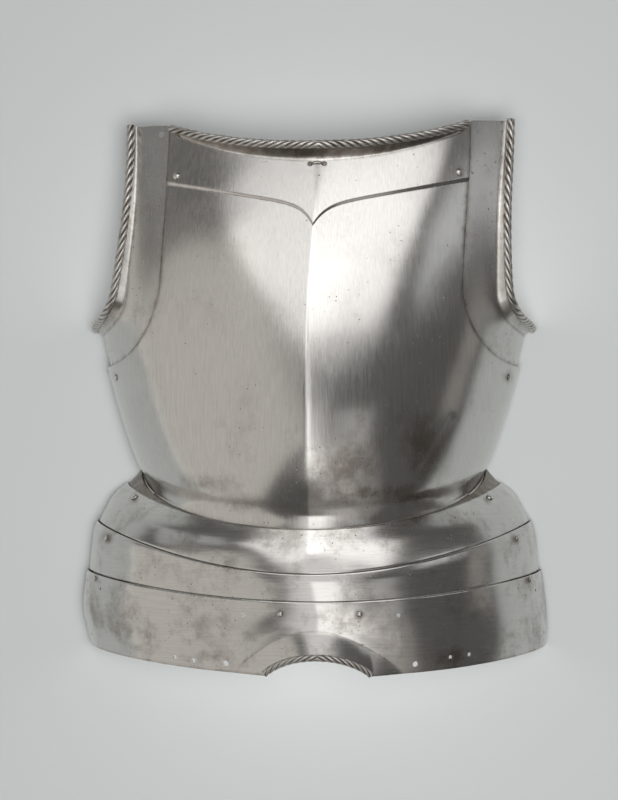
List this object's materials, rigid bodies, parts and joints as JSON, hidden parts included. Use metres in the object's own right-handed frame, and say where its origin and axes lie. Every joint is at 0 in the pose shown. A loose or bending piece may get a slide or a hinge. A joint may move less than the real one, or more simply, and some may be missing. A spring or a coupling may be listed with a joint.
{
  "type": "steel cuirass breastplate with fauld",
  "caption": "Hand-made steel breastplate with a medial ridge, roped neck and arm edges, side gussets and a skirt of hinged lames, lying on its back edges.",
  "frame": {"origin": "under the middle of the box of the whole breastplate, on the surface that it lies on", "axes": "+Z out of the chest, along which the breastplate is seen; +Y from the skirt towards the neck; +X to the right as seen from the front"},
  "size_m": [0.4264, 0.4902, 0.1825],
  "materials": {
    "breast_steel": "polished steel with fine upright brushing and light pitting",
    "gusset_steel": "polished steel, browned in the creases and along the roped roll",
    "fauld_steel": "polished steel with fine level brushing, browned at the seams",
    "rivet_iron": "worn hand-hammered rivet heads",
    "staple_wire": "dark drawn iron wire"
  },
  "bodies": {
    "breast": {"breast_plate": "breast_steel", "gusset_left": "gusset_steel", "gusset_right": "gusset_steel", "waist_lame": "fauld_steel", "rivet_neck_left": "rivet_iron", "rivet_neck_right": "rivet_iron", "rivet_armpit_left": "rivet_iron", "rivet_armpit_right": "rivet_iron", "neck_staple": "staple_wire"},
    "lame_1": {"fauld_lame_1": "fauld_steel", "rivet_lame_1_left": "rivet_iron", "rivet_lame_1_right": "rivet_iron"},
    "lame_2": {"fauld_lame_2": "fauld_steel", "rivet_lame_2_left": "rivet_iron", "rivet_lame_2_right": "rivet_iron"},
    "lame_3": {"fauld_lame_3": "fauld_steel", "rivet_lame_3_left": "rivet_iron", "rivet_lame_3_right": "rivet_iron", "rivet_skirt_left": "rivet_iron", "rivet_skirt_right": "rivet_iron"}
  },
  "joints": [
    {"name": "lame_1_pivot", "type": "hinge", "parent": "breast", "child": "lame_1", "pos_m": [0, -0.09625, 0.057], "axis": [-1, 0, 0], "range_deg": [0, 2]},
    {"name": "lame_2_pivot", "type": "hinge", "parent": "lame_1", "child": "lame_2", "pos_m": [0, -0.13125, 0.0687], "axis": [-1, 0, 0], "range_deg": [0, 4]},
    {"name": "lame_3_pivot", "type": "hinge", "parent": "lame_2", "child": "lame_3", "pos_m": [0, -0.16825, 0.06], "axis": [-1, 0, 0], "range_deg": [0, 4]}
  ]
}
